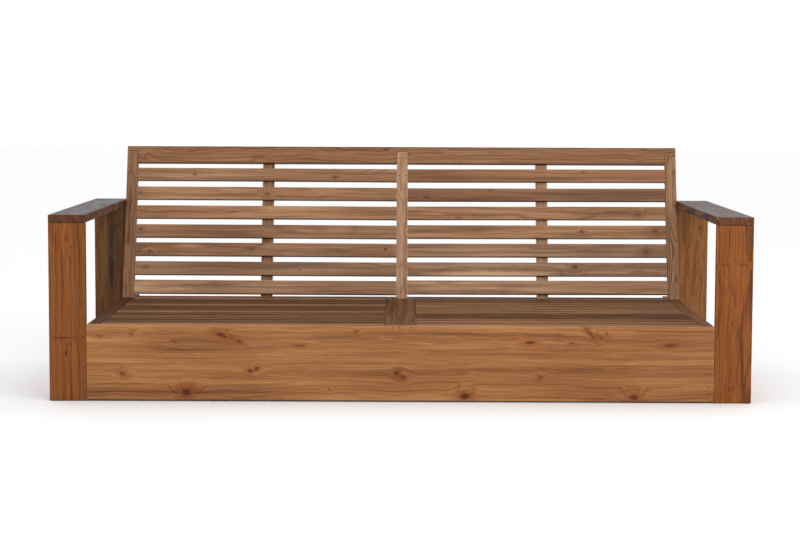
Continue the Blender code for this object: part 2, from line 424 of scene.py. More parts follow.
def swayed(tree, place, amount):
    """Bend the straight grain to and fro by a part of the amount, over a hand's breadth or two."""
    slow = add(tree, "ShaderNodeVectorMath", {0: place, 1: (6, 14, 14)}, operation="MULTIPLY").outputs[0]
    sway = add(tree, "ShaderNodeTexNoise", {"Vector": slow, "Scale": 1.0, "Detail": 1.0}).outputs["Color"]
    sway = add(tree, "ShaderNodeVectorMath", {0: sway, 1: (0, amount, amount)},
               operation="MULTIPLY").outputs[0]
    return add(tree, "ShaderNodeVectorMath", {0: place, 1: sway}, operation="ADD").outputs[0]


def stain(tree, colour, stain_colour, where, low=0.0, high=1.0, amount=1.0):
    """Lay a colour over the wood: nothing where the value is below low, the amount above high."""
    cover = add(tree, "ShaderNodeMapRange", {"Value": where, "From Min": low, "From Max": high,
                                             "To Min": 0.0, "To Max": amount}).outputs[0]
    return add(tree, "ShaderNodeMix", {"Factor": cover, 6: colour, 7: linear(stain_colour)},
               data_type="RGBA").outputs[2]


# %% [markdown]
# ## Marks on the boards
#
# A knot shows as a red-brown halo round a dark eye with small checks in it, and one slat of the back
# keeps a strip of pale sapwood on its lower edge.  Each is a stain with its own place.  Worked into
# the ramp of browns, they would be tied to the tone, and a knot can lie in pale wood too.

# %% Knots and sapwood
SAP_PLACE = (-0.17, -0.024)     # middle of the strip, along and across the slat
SAP_SIZE = (0.24, 0.018)        # about half its length and half its width


def dark_knots(tree, grain, colour, eyes, halos, eye, halo):
    """The halo first, then the eye, which the checks break up."""
    colour = stain(tree, colour, halo, halos, amount=0.62)
    checks = add(tree, "ShaderNodeTexNoise", {"Vector": grain, "Scale": 260.0, "Detail": 1.0})
    broken = add(tree, "ShaderNodeMapRange", {"Value": checks.outputs["Fac"], "From Min": 0.2,
                                              "From Max": 0.5})
    dark = add(tree, "ShaderNodeMath", {0: eyes, 1: broken.outputs[0]}, operation="MULTIPLY").outputs[0]
    return stain(tree, colour, eye, dark)


def sapwood_edge(tree, grain, colour):
    """A long pale patch, as strong as the attribute sap says."""
    near = add(tree, "ShaderNodeMapping", {
        "Vector": ragged(tree, grain), "Location": (*SAP_PLACE, 0), "Scale": (*SAP_SIZE, DEEP)},
        vector_type="TEXTURE").outputs[0]
    reach = add(tree, "ShaderNodeVectorMath", {0: near}, operation="LENGTH").outputs["Value"]
    patch = add(tree, "ShaderNodeMapRange", {"Value": reach, "From Min": 0.55, "From Max": 1.15,
                                             "To Min": 0.75, "To Max": 0.0}).outputs[0]
    sap = add(tree, "ShaderNodeAttribute", attribute_name="sap").outputs["Fac"]
    patch = add(tree, "ShaderNodeMath", {0: patch, 1: sap}, operation="MULTIPLY").outputs[0]
    return stain(tree, colour, "#d2a983", patch)


# %% [markdown]
# Three more colours depend on which side of the board a face is.  Faces that look down get a painted
# shade for the shadow under each board, and so do the narrow sides of the seat slats, for the shadow
# in the gaps between them.  Weathering is a patchy grey film on faces that look at the sky, partly
# the real greying of teak and partly a painted reflection of the sky, and it thins out along worn
# arrises.  The film lies on the wood's own brown, which is what shows at the ends and the edges of
# the same board.

# %% Painted shade, and the grey film
# The brown of the painted shade, under the boards and in the gaps between the seat slats.
PAINTED_SHADE_BROWN = "#3f291b"


def facing_up(tree):
    """1 where a face looks at the sky, -1 where it looks at the ground."""
    facing = add(tree, "ShaderNodeNewGeometry").outputs["True Normal"]
    return add(tree, "ShaderNodeSeparateXYZ", {0: facing}).outputs["Z"]


def painted_underside_shade(tree, colour):
    """Painted shade: darken the faces that look down, for the shadow under a board."""
    down = add(tree, "ShaderNodeMath", {0: facing_up(tree), 1: -1.0}, operation="MULTIPLY").outputs[0]
    return stain(tree, colour, PAINTED_SHADE_BROWN, down, 0.45, 0.9, 0.85)


def painted_gap_shade(tree, grain, colour, half_width):
    """Painted shade: darken the last millimetre or so before the narrow sides, for the shadow in the gaps."""
    aside = add(tree, "ShaderNodeSeparateXYZ", {0: grain}).outputs["Y"]
    aside = add(tree, "ShaderNodeMath", {0: aside}, operation="ABSOLUTE").outputs[0]
    return stain(tree, colour, PAINTED_SHADE_BROWN, aside, half_width - 1.6 * MM, half_width - 0.6 * MM, 0.18)


def weather_and_painted_sky(tree, colour, uneven, grey, amount):
    """Lay a patchy grey film over upward faces, partly weathering and partly a painted reflection of the sky;
    the arrises stay brown.
    """
    up = add(tree, "ShaderNodeMapRange", {"Value": facing_up(tree), "From Min": 0.3, "From Max": 0.9,
                                          "To Max": amount}).outputs[0]
    patchy = add(tree, "ShaderNodeMapRange", {"Value": uneven, "From Min": 0.3, "From Max": 0.7,
                                              "To Min": 1.4, "To Max": 0.5}).outputs[0]
    film = add(tree, "ShaderNodeMath", {0: up, 1: patchy}, operation="MULTIPLY").outputs[0]
    arris = add(tree, "ShaderNodeAttribute", attribute_name="arris").outputs["Fac"]
    kept = add(tree, "ShaderNodeMapRange", {"Value": arris, "To Min": 1.0, "To Max": 0.35}).outputs[0]
    film = add(tree, "ShaderNodeMath", {0: film, 1: kept}, operation="MULTIPLY").outputs[0]
    return stain(tree, colour, grey, film)


# %% [markdown]
# ## The finish
#
# One function builds every teak finish on the seat, from fresh oiled boards to the greyed tops of
# the arms.  The rings, the slow bands and the fine fibres are added up to a tone, and a ramp of three
# browns turns the tone into colour; the board's own tint shifts it.  The marks come on top.  Oiled
# teak has hardly any gloss, so its reflection is kept low; a strong one would wash out the browns
# under a white sky.  A finish built apart for each board would repeat the same nodes every time.

# %% Tone
FIBRE = 4.5 * MM            # the finest streaks that still show from a few metres; real ones are finer
MIDDLE_TONE = 0.45


def wood_tone(tree, place, late, fibre, rings, bands, band, fibres, shift):
    """Rings, bands and fibres added up, around the middle tone.

    The noises average 0.5 and the late wood 0.2 to 0.3; the start takes about that off again.
    """
    start = MIDDLE_TONE - 0.5 * (bands + fibres + shift) - 0.3 * rings
    tone = add(tree, "ShaderNodeMath", {0: late, 1: rings, 2: start}, operation="MULTIPLY_ADD").outputs[0]
    slow = streaks(tree, place, 1.2, band * MM, 2.0)
    for value, amount in ((slow, bands), (fibre, fibres)):
        tone = add(tree, "ShaderNodeMath", {0: value, 1: amount, 2: tone},
                   operation="MULTIPLY_ADD").outputs[0]
    if shift:
        length = add(tree, "ShaderNodeSeparateXYZ", {0: place}).outputs["X"]
        tone = drifted(tree, tone, length, 2.2, shift, 0.0)
    return tone


def wood_colour(tree, place, tone, browns, dull, dulling, flecks, tint):
    """The tone turned into browns, with duller heartwood and pale flecks, under the board's tint."""
    ramp = add(tree, "ShaderNodeValToRGB", {"Fac": tone})
    set_ramp(ramp, ((0.10, browns[0]), (0.48, browns[1]), (0.95, browns[2])))
    colour = ramp.outputs["Color"]
    colour = stain(tree, colour, dull, streaks(tree, place, 0.35, 14 * MM, 1.0), 0.5, 0.75, dulling)
    if flecks:
        pale = streaks(tree, place, 0.10, 3.5 * MM, 1.0)
        colour = stain(tree, colour, "#cfa47a", pale, 0.62, 0.78, flecks)
    return add(tree, "ShaderNodeMix", {"Factor": 1.0, 6: colour, 7: tint}, data_type="RGBA",
               blend_type="MULTIPLY").outputs[2]


# %% [markdown]
# The soft early wood wears away first and leaves the late wood raised, with open pores in both.  This
# is too shallow to model, so a bump does it.  The polish varies from streak to streak as well.

# %% Relief and sheen


def relief(tree, place, late):
    """Open pores and raised late wood, as a bump."""
    pores = streaks(tree, place, 0.012, 0.5 * MM, 1.0)
    height = add(tree, "ShaderNodeMath", {0: late, 1: -0.6, 2: pores}, operation="MULTIPLY_ADD").outputs[0]
    return add(tree, "ShaderNodeBump", {"Height": height, "Strength": 0.3, "Distance": 0.25 * MM}).outputs[0]


def sheen(tree, uneven, roughness):
    """The roughness, a little lower and higher from streak to streak."""
    return add(tree, "ShaderNodeMapRange", {
        "Value": uneven, "From Min": 0.25, "From Max": 0.75, "To Min": roughness - 0.08,
        "To Max": roughness + 0.10}).outputs[0]


# %% [markdown]
# The finish itself puts these together in the order of the real thing: the tree, the board that was
# cut from it, its marks, and then what was done to its surface.

# %% The teak finish
KNOT_PUSH = -0.45           # how far a knot pushes the fibres aside, as a part of its bulge


def teak(name, browns, ring=5.0, rings=0.30, bands=0.7, band=20.0, fibres=1.0, drift=30.0, sway=16.0,
         flecks=0.0, calm=1.0, dull="#6f5646", dulling=0.35, weather=0.0, grey="#8f8a88", roughness=0.55,
         gloss=0.2, dark_sides=0.0, shift=0.0, sap_edge=False, knots=(), carried=(), halo="#84421a",
         eye="#451a08"):
    """A teak finish.

    browns are the pale, middle and deep colours.  ring, drift and sway are the ring width, the drift
    of the heart and the waviness in mm; rings, bands and fibres are how much each adds to the tone,
    and band is the width of a band in mm.  calm above 1 draws the ring lines out longer.
    dark_sides is how far the narrow sides lie from the middle, in mm, where the shade of the gaps is painted
    on them.
    shift lets the tone wander along the board, and sap_edge paints sapwood where a mesh carries it.
    weather is the strength of the grey film, and gloss that of the reflection.  knots are listed;
    carried names the attributes that hold a mesh's own.
    """
    material = bpy.data.materials.new(name)
    material.use_nodes = True
    tree = material.node_tree
    grain = add(tree, "ShaderNodeAttribute", attribute_name="grain").outputs["Vector"]
    log = add(tree, "ShaderNodeAttribute", attribute_name="log").outputs["Vector"]
    tint = add(tree, "ShaderNodeAttribute", attribute_name="tint").outputs["Color"]
    place = add(tree, "ShaderNodeVectorMath", {0: grain, 1: log}, operation="ADD").outputs[0]
    place = swayed(tree, place, sway * MM)
    bulge = None
    if knots or carried:
        field = knot_field(tree, grain, knots) if knots else carried_knots(tree, grain, carried)
        bulge, eyes, halos, push = field
    late = growth_rings(tree, place, bulge, ring * MM, drift * MM, calm)
    if bulge is not None:
        aside = add(tree, "ShaderNodeMath", {0: push, 1: KNOT_PUSH}, operation="MULTIPLY").outputs[0]
        aside = add(tree, "ShaderNodeCombineXYZ", {"Y": aside}).outputs[0]
        place = add(tree, "ShaderNodeVectorMath", {0: place, 1: aside}, operation="ADD").outputs[0]
    fibre = streaks(tree, place, 0.5, FIBRE, 4.0)
    tone = wood_tone(tree, place, late, fibre, rings, bands, band, fibres, shift)
    colour = wood_colour(tree, place, tone, browns, dull, dulling, flecks, tint)
    if sap_edge:
        colour = sapwood_edge(tree, grain, colour)
    if bulge is not None:
        colour = dark_knots(tree, grain, colour, eyes, halos, eye, halo)
    # Painted shade under every board.
    colour = painted_underside_shade(tree, colour)
    # Painted shade on the narrow sides, for the shadow in the gaps between the slats.
    if dark_sides:
        colour = painted_gap_shade(tree, grain, colour, dark_sides * MM)
    uneven = fibre
    if weather:
        uneven = streaks(tree, place, 0.16, 35 * MM, 2.0)
        colour = weather_and_painted_sky(tree, colour, uneven, grey, weather)
    shader = tree.nodes["Principled BSDF"]
    tree.links.new(colour, shader.inputs["Base Color"])
    tree.links.new(sheen(tree, uneven, roughness), shader.inputs["Roughness"])
    tree.links.new(relief(tree, place, late), shader.inputs["Normal"])
    shader.inputs["Specular IOR Level"].default_value = gloss
    print(f"{name}: {len(tree.nodes)} nodes")
    return material


# %% [markdown]
# ## Legs
#
# The four legs are wide flat boards that face forward, oiled a warm brown.  Each shows its own knots
# and streaks, so each gets its own finish: the rear right board is more olive, and the rear left one
# has a dark stripe.  A stripe or a streak is a knot with a long stretch.  One shared finish would be
# shorter, but the front legs stand at the two ends of the seat, where a twin is seen at once.

# %% Legs
LEG_BROWNS = ("#9c6229", "#7c481b", "#482508")
left_knots = ((0.235, 0.001, 7, 2.6, 6, 0.6), (0.212, 0.014, 4, 2.6, -12, 0.5),
              (0.196, 0.003, 3, 4.0, 4, 0.45), (-0.082, -0.004, 52, 0.06, 2, 0.75),
              (-0.084, -0.040, 5, 1.0, 0, 0.8), (-0.086, -0.018, 5, 1.0, 0, 0.8),
              (-0.083, 0.018, 4, 1.0, 0, 0.7), (-0.079, 0.050, 5, 1.0, 0, 0.8),
              (-0.130, -0.004, 4, 4.0, 2, 1.0), (-0.112, -0.003, 4, 5.0, 2, 0.4),
              (-0.179, 0.051, 2.2, 1, 0, 0.9), (-0.225, 0.048, 2.2, 1, 0, 0.9))
right_knots = ((0.160, -0.028, 20, 0.22, -14, 0.45), (0.160, 0.026, 20, 0.22, 12, 0.45),
               (0.078, -0.022, 4, 5.0, 8, 0.3), (0.046, 0.001, 4, 6.0, 5, 0.55),
               (-0.034, -0.004, 4, 6.0, 6, 0.5), (-0.238, 0.000, 4, 1.8, 0, 0.7),
               (-0.074, -0.050, 2.2, 1, 0, 0.8), (-0.145, -0.048, 2.2, 1, 0, 0.8),
               (-0.236, -0.050, 2.2, 1, 0, 0.8))
dark_streaks = ((0.050, 0.002, 9, 9, 1, 0.95), (0.170, 0.004, 9, 8, -1, 0.7),
                (0.090, 0.028, 4, 16, 0, 0.45), (-0.010, -0.018, 2, 20, 0, 0.3))
olive_streaks = ((0.028, 0.010, 9, 7, 3, 0.5), (0.075, -0.012, 7, 8, -2, 0.35),
                 (0.120, 0.018, 6, 8, 2, 0.35), (0.190, -0.030, 7, 6, 4, 0.3),
                 (-0.020, -0.034, 8, 5, 0, 0.4))
leg_left = teak("oiled_teak_left_leg", LEG_BROWNS, ring=4.5, rings=0.4,
                drift=12.0, fibres=1.35, knots=left_knots)
leg_right = teak("oiled_teak_right_leg", LEG_BROWNS, ring=5.0, rings=0.3,
                 drift=22.0, fibres=1.35, knots=right_knots)
olive = teak("olive_teak", ("#b07741", "#8d5b30", "#5d3718"), ring=5.0, bands=1.1, knots=olive_streaks,
             halo="#7a4524", eye="#5f3820")
striped = teak("striped_teak", ("#845931", "#644022", "#36200f"), ring=4.0, drift=10.0, bands=1.2,
               dull="#36241a", dulling=0.5, knots=dark_streaks, halo="#3d281b", eye="#26170f")

dress("front_leg_left", leg_left, "teak_oiled", "#f4e6d4", 0.05, 0.12)
dress("front_leg_right", leg_right, "teak_oiled", "#fff0dc", 0.075, -0.07)
dress("rear_leg_left", striped, "teak_oiled", "#ffffff", 0.05, 0.10)
dress("rear_leg_right", olive, "teak_oiled", "#ffffff", 0.10, 0.06)
print("4 legs dressed")

# %% [markdown]
# ## Arms
#
# The arms are the same wide board laid flat, and they take the most sun and rain: their tops have
# greyed while the front ends and the edges have stayed dark.  The grey is laid on by the finish, on
# upward faces only, and its cool blue-grey is also a painted reflection of the sky.  A second, grey
# material for the tops would end in a hard line at the arrises.

# %% Arms
# The grey film is partly weathering and partly a painted reflection of the sky.
arm = teak("weathered_teak_arm", ("#764726", "#583219", "#2a1508"), ring=8.0, rings=0.7, fibres=1.4,
           weather=0.55, grey="#555b65", roughness=0.54, gloss=0.22)
for side in ("left", "right"):
    # The left arm's darker tint is painted shade, for that arm lies more in shadow.
    tint = {"left": "#e2d4c4", "right": "#fff4e8"}[side]
    dress(f"armrest_{side}", arm, "teak_weathered", tint, 0.02, 0.16)
print("2 arms dressed")

# %% [markdown]
# ## Apron
#
# The apron is glued up from two boards, edge to edge and planed flush, so the joint shows only as a
# change in the lines.  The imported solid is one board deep, so it is cut at the joint after its
# outer arrises are rounded.  Each half then gets its own place in the trunk and its own knots.  Two
# separate boards with rounded edges would show a groove that isn't there.

# %% Finishes of the apron
APRON_JOINT = 0.122         # above the floor
APRON_BROWNS = ("#b38150", "#976338", "#603617")
upper_knots = ((-0.572, 0.029, 9, 2.6, -20, 0.85), (-0.545, 0.020, 4, 5.0, -28, 0.5),
               (-0.514, 0.010, 6, 2.6, -25, 0.7), (-0.726, 0.009, 5, 2.0, 0, 0.7),
               (-0.322, -0.003, 4, 6.0, 3, 0.65), (-0.140, 0.040, 5, 1.3, 60, 0.6),
               (0.036, 0.002, 2.5, 9.0, 0, 0.4), (0.414, 0.010, 6, 3.2, 0, 0.9),
               (0.548, 0.007, 4, 2.6, 0, 0.6), (0.606, 0.040, 6, 4.5, -48, 0.75),
               (0.640, 0.026, 5, 2.5, -20, 0.5), (0.660, 0.037, 4, 1.2, 0, 0.6),
               (0.510, 0.036, 3, 1.0, 0, 0.5), (0.862, 0.002, 7, 3.6, 4, 0.75),
               (-0.860, 0.034, 5, 1.6, 30, 0.5), (-0.962, 0.025, 4, 3.0, 0, 0.5))
lower_knots = ((-0.890, 0.026, 9, 1.3, -20, 0.8), (-0.685, -0.034, 14, 1.3, 0, 0.95),
               (-0.480, 0.036, 9, 1.4, 0, 0.85), (-0.461, 0.043, 8, 1.2, 20, 0.95),
               (-0.229, -0.023, 6, 1.2, 40, 0.35), (-0.011, 0.030, 9, 1.2, -20, 0.85),
               (0.010, 0.017, 9, 1.4, -30, 0.7), (0.207, -0.043, 13, 1.4, 0, 0.95),
               (0.450, 0.018, 8, 1.4, 30, 0.5), (0.749, -0.044, 12, 1.5, 0, 0.9))
upper_finish = teak("oiled_teak_apron_upper", APRON_BROWNS, ring=7.0, rings=0.22, bands=1.4, band=38.0,
                    fibres=0.9, drift=26.0, sway=12.0, flecks=0.4, calm=2.0, shift=0.4, knots=upper_knots)
lower_finish = teak("oiled_teak_apron_lower", APRON_BROWNS, ring=7.5, rings=0.22, bands=1.4, band=38.0,
                    fibres=0.9, drift=26.0, sway=12.0, flecks=0.4, calm=2.0, shift=0.4, knots=lower_knots)

# %% The two boards of the apron


def apron_board(name, keep_above, material, tint, heart, side):
    """One of the two boards of the apron, cut from the rounded solid at the glued joint."""
    board = measure("front_apron")
    bm = rounded("front_apron")
    everything = bm.verts[:] + bm.edges[:] + bm.faces[:]
    cut = bmesh.ops.bisect_plane(bm, geom=everything, plane_co=(0, 0, APRON_JOINT), plane_no=(0, 0, 1),
                                 clear_inner=keep_above, clear_outer=not keep_above)
    rim = [part for part in cut["geom_cut"] if isinstance(part, bmesh.types.BMEdge)]
    bmesh.ops.contextual_create(bm, geom=rim)
    bmesh.ops.recalc_face_normals(bm, faces=bm.faces)
    add_rims(bm)
    mesh = bpy.data.meshes.new(name)
    bm.to_mesh(mesh)
    bm.free()
    mesh.shade_smooth()
    mesh.set_sharp_from_angle(angle=math.radians(50))
    low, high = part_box("front_apron")
    edges = (APRON_JOINT, high.z) if keep_above else (low.z, APRON_JOINT)
    middle = Vector((0, (low.y + high.y) / 2, sum(edges) / 2))
    store_grain(mesh, board, tint, sawn_from(heart, side), middle)
    return finish_piece(name, mesh, material, "teak_apron", "front_apron")


apron_board("apron_upper_board", True, upper_finish, "#fffbf8", 0.05, 0.10)
apron_board("apron_lower_board", False, lower_finish, "#f6efe9", 0.08, 0.08)
print("apron glued up from 2 boards")

# %% [markdown]
# ## The rest of the frame
#
# The uprights, the top rail, the rails of the seat box and the plain boards of the seat are dressed
# in one loop.  They differ in their finish, their tint and how far from the heart they were sawn.  The
# boards of the back are planed and a little paler than the legs; those of the seat are darker and
# almost matt.  The right-hand upright was cut beside a branch, so its lines run wild.  The bearers
# are rough from the saw, so they are matt, and the two battens behind the slats are pale sapwood.
# Writing each board out by itself would say the same line fifteen times.

# %% Frame boards
BACK_BROWNS = ("#c69f7e", "#a17858", "#6b4934")
SEAT_BROWNS = ("#a57c5a", "#7b553a", "#40281a")
back_wood = teak("planed_teak_back", BACK_BROWNS, ring=4.5, flecks=0.3)
rail_wood = teak("planed_teak_rail", BACK_BROWNS, ring=4.5, flecks=0.3,
                 knots=((-0.513, -0.010, 5, 2.5, 0, 0.35), (-0.925, -0.004, 5, 2.5, -30, 0.3)))
wild_wood = teak("wild_teak", BACK_BROWNS, ring=5.0, rings=0.7, drift=30.0, sway=20.0, flecks=0.3)
seat_wood = teak("planed_teak_seat", SEAT_BROWNS, ring=4.5, sway=8.0, roughness=0.62, gloss=0.08)
# dark_sides paints the shadow of the gaps between the seat slats onto their narrow sides.
seat_stick_wood = teak("planed_teak_seat_slats", SEAT_BROWNS, ring=4.5, sway=8.0, roughness=0.62,
                       gloss=0.08, dark_sides=24.0)
sapwood = teak("sapwood_teak", ("#d0ac8c", "#b28a69", "#815b40"), ring=4.5, roughness=0.6)
rough_wood = teak("sawn_teak", ("#b08a66", "#8f6847", "#62432c"), ring=5.0, roughness=0.72)
oiled = teak("oiled_teak", ("#a8703c", "#855327", "#522d11"), ring=6.0, bands=1.2, band=30.0,
             sway=12.0, calm=1.5)

frame_boards = {
    "back_stile_left": (back_wood, "teak_oiled", "#cfc4ba", 0.04),
    "back_stile_centre": (back_wood, "teak_oiled", "#f8f7f9", 0.10),
    "back_stile_right": (wild_wood, "teak_oiled", "#d8cdc0", 0.05),
    "back_top_rail": (rail_wood, "teak_oiled", "#d4c3b2", 0.12),
    "back_batten_left": (sapwood, "teak_hidden", "#dccebc", 0.06),
    "back_batten_right": (sapwood, "teak_hidden", "#ffffff", 0.06),
    "side_rail_left": (oiled, "teak_oiled", "#f0e4d8", 0.10),
    "side_rail_right": (oiled, "teak_oiled", "#f6e8dc", 0.12),
    "rear_rail": (oiled, "teak_oiled", "#fff0e4", 0.10),
    "seat_edge_strip_left": (seat_wood, "teak_seat", "#a08a66", 0.06),
    "seat_edge_strip_right": (seat_wood, "teak_seat", "#d8c8b8", 0.05),
    "seat_centre_board": (seat_wood, "teak_seat", "#ccbcaa", 0.08),
    "seat_bearer_left": (rough_wood, "teak_hidden", "#e8dccf", 0.07),
    "seat_bearer_centre": (rough_wood, "teak_hidden", "#efe0d0", 0.09),
    "seat_bearer_right": (rough_wood, "teak_hidden", "#e8dccf", 0.07),
}
for name, (material, slot, tint, heart) in frame_boards.items():
    dress(name, material, slot, tint, heart)
print(len(frame_boards), "frame boards dressed")

# %% [markdown]
# ## Slats
#
# Thirty-eight slats fill the back and the seat.  They are all the same stick, cut to length, with
# rounded long edges, so a Geometry Nodes tree makes one and sets a copy on every point it is given.
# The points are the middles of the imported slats.  Each copy gets its own place in the trunk and a
# bow of a fraction of a millimetre, as real sticks have.  A loop that builds each slat from its own
# mesh would give the same shapes, but the tree keeps their sizes in one row of inputs.

# %% The inputs, and one stick


def interface(tree, *inputs):
    tree.interface.new_socket("Geometry", in_out="INPUT", socket_type="NodeSocketGeometry")
    tree.interface.new_socket("Geometry", in_out="OUTPUT", socket_type="NodeSocketGeometry")
    return {name: tree.interface.new_socket(name, in_out="INPUT", socket_type=kind).identifier
            for name, kind in inputs}


slat_tree = bpy.data.node_groups.new("slats_on_points", "GeometryNodeTree")
slat_inputs = interface(
    slat_tree, ("Length", "NodeSocketFloat"), ("Width", "NodeSocketFloat"),
    ("Thickness", "NodeSocketFloat"), ("Rounding", "NodeSocketFloat"), ("Bow", "NodeSocketFloat"),
    ("Turn", "NodeSocketVector"), ("Seed", "NodeSocketInt"), ("Finish", "NodeSocketMaterial"))

given = add(slat_tree, "NodeGroupInput").outputs
outline = add(slat_tree, "GeometryNodeCurvePrimitiveQuadrilateral",
              {"Width": given["Width"], "Height": given["Thickness"]})
outline = add(slat_tree, "GeometryNodeFilletCurve",
              {"Curve": outline.outputs[0], "Count": 3, "Radius": given["Rounding"]}, mode="POLY")
reach = add(slat_tree, "ShaderNodeMath", {0: given["Length"], 1: 0.5}, operation="MULTIPLY").outputs[0]
back_reach = add(slat_tree, "ShaderNodeMath", {0: given["Length"], 1: -0.5},
                 operation="MULTIPLY").outputs[0]
ends = [add(slat_tree, "ShaderNodeCombineXYZ", {"X": value}).outputs[0] for value in (back_reach, reach)]
path = add(slat_tree, "GeometryNodeCurvePrimitiveLine", {"Start": ends[0], "End": ends[1]})
path = add(slat_tree, "GeometryNodeResampleCurve", {"Curve": path.outputs[0], "Count": 17})
path = add(slat_tree, "GeometryNodeSetCurveNormal", {"Curve": path.outputs[0]}, mode="Z_UP")
stick = add(slat_tree, "GeometryNodeCurveToMesh",
            {"Curve": path.outputs[0], "Profile Curve": outline.outputs[0], "Fill Caps": True})
spot = add(slat_tree, "GeometryNodeInputPosition").outputs[0]
stick = add(slat_tree, "GeometryNodeStoreNamedAttribute",
            {"Geometry": stick.outputs[0], "Name": "grain", "Value": spot},
            data_type="FLOAT_VECTOR", domain="POINT")

# %% [markdown]
# The stick goes on every point, stretched a little where a slat is wider than the first.  Each copy
# draws its place in the trunk and its bend from the seed.

# %% Copies on the points
widen = add(slat_tree, "GeometryNodeInputNamedAttribute", {"Name": "widen"}, data_type="FLOAT_VECTOR")
copies = add(slat_tree, "GeometryNodeInstanceOnPoints",
             {"Points": given["Geometry"], "Instance": stick.outputs[0], "Rotation": given["Turn"],
              "Scale": widen.outputs["Attribute"]})
in_trunk = add(slat_tree, "FunctionNodeRandomValue",
               {"Min": (0, -0.10, 0.04), "Max": (60, 0.10, 0.14), "Seed": given["Seed"]},
               data_type="FLOAT_VECTOR")
copies = add(slat_tree, "GeometryNodeStoreNamedAttribute",
             {"Geometry": copies.outputs[0], "Name": "log", "Value": in_trunk.outputs[0]},
             data_type="FLOAT_VECTOR", domain="INSTANCE")
bend = add(slat_tree, "FunctionNodeRandomValue", {2: -1.0, 3: 1.0, "Seed": given["Seed"]},
           data_type="FLOAT")
copies = add(slat_tree, "GeometryNodeStoreNamedAttribute",
             {"Geometry": copies.outputs[0], "Name": "bend", "Value": bend.outputs[1]},
             data_type="FLOAT", domain="INSTANCE")
solid = add(slat_tree, "GeometryNodeRealizeInstances", {0: copies.outputs[0]})

# %% [markdown]
# The copies are made real, so that each can bend: most at its middle and nothing at its ends.  The
# broad faces stay flat-shaded, and only the small faces of the rounded edges are smooth.

# %% Bow, shading and finish
SMALL_FACE = (10 * MM) ** 2
along = add(slat_tree, "GeometryNodeInputNamedAttribute", {"Name": "grain"}, data_type="FLOAT_VECTOR")
along = add(slat_tree, "ShaderNodeSeparateXYZ", {0: along.outputs["Attribute"]}).outputs["X"]
along = add(slat_tree, "ShaderNodeMath", {0: along, 1: reach}, operation="DIVIDE").outputs[0]
arch = add(slat_tree, "ShaderNodeMath", {0: along, 1: along}, operation="MULTIPLY").outputs[0]
arch = add(slat_tree, "ShaderNodeMath", {0: 1.0, 1: arch}, operation="SUBTRACT").outputs[0]
own_bend = add(slat_tree, "GeometryNodeInputNamedAttribute", {"Name": "bend"}, data_type="FLOAT")
lift = add(slat_tree, "ShaderNodeMath", {0: arch, 1: own_bend.outputs["Attribute"]},
           operation="MULTIPLY").outputs[0]
lift = add(slat_tree, "ShaderNodeMath", {0: lift, 1: given["Bow"]}, operation="MULTIPLY").outputs[0]
sideways = add(slat_tree, "FunctionNodeEulerToRotation", {0: given["Turn"]})
push = add(slat_tree, "ShaderNodeCombineXYZ", {"Y": lift})
push = add(slat_tree, "FunctionNodeRotateVector",
           {"Vector": push.outputs[0], "Rotation": sideways.outputs[0]})
solid = add(slat_tree, "GeometryNodeSetPosition", {"Geometry": solid.outputs[0], "Offset": push.outputs[0]})
area = add(slat_tree, "GeometryNodeInputMeshFaceArea").outputs[0]
small = add(slat_tree, "FunctionNodeCompare", {0: area, 1: SMALL_FACE}, operation="LESS_THAN")
solid = add(slat_tree, "GeometryNodeSetShadeSmooth",
            {"Geometry": solid.outputs[0], "Shade Smooth": small.outputs[0]})
solid = add(slat_tree, "GeometryNodeSetMaterial",
            {"Geometry": solid.outputs[0], "Material": given["Finish"]})
add(slat_tree, "NodeGroupOutput", {0: solid.outputs[0]})
print("slat tree:", len(slat_tree.nodes), "nodes")

# %% [markdown]
# ### From points to finished slats
#
# The tree runs as a modifier on a mesh that holds only points.  Its inputs are set by their
# identifiers, then the result is read back as a plain mesh, one piece for each half of the seat and
# of the back.

# %% Run the tree


def grow(name, tree, identifiers, points, values, attributes):
    """Run a tree on points and return the plain mesh that it makes."""
    mesh = bpy.data.meshes.new(name + "_points")
    mesh.from_pydata([tuple(point) for point in points], [], [])
    for attribute, (kind, data) in attributes.items():
        store(mesh, attribute, kind, data)
    holder = bpy.data.objects.new(name + "_points", mesh)
    bpy.context.collection.objects.link(holder)
    modifier = holder.modifiers.new(name, "NODES")
    modifier.node_group = tree
    for label, value in values.items():
        modifier[identifiers[label]] = value
    graph = bpy.context.evaluated_depsgraph_get()
    plain = bpy.data.meshes.new_from_object(holder.evaluated_get(graph), preserve_all_data_layers=True,
                                            depsgraph=graph)
    plain.name = name
    bpy.data.objects.remove(holder)
    return plain


def slat_direction(name):
    """The direction of a slat, from the middle of one end to the middle of the other."""
    ends = [[], []]
    for vertex in nodes[name].data.vertices:
        ends[vertex.co.x > measure(name)["middle"].x].append(vertex.co)
    left, right = [sum(end, Vector()) / len(end) for end in ends]
    return (right - left).normalized()


print("first slat runs along", [round(v, 4) for v in slat_direction("back_slat_left_1")])

# %% [markdown]
# ### One bay of slats
#
# A slat of the back dips a little towards the middle upright, so its width is measured square to its
# own direction; measured upright it would come out too wide.  The knots go along as attributes, in
# metres from the middle of the slat.

# %% One bay
SLAT_ROUNDING = 2.0 * MM
BOW = 0.4 * MM
NO_KNOT = (9.0, 9.0, 0.0)   # far off the board, and of no size
SAPPY_SLAT = "back_slat_right_6"


def extent(name, axis):
    """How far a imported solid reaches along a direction."""
    reach = [vertex.co.dot(axis) for vertex in nodes[name].data.vertices]
    return max(reach) - min(reach)


def knots_of(boards, knots, which):
    """The first or the second knot of every slat, from (x, mm above the middle, radius in mm)."""
    carried = []
    for row, board in enumerate(boards, 1):
        own = knots.get(row, ())
        if which < len(own):
            x, above, radius = own[which]
            carried.append((x - board["middle"].x, above * MM, radius * MM))
        else:
            carried.append(NO_KNOT)
    return carried


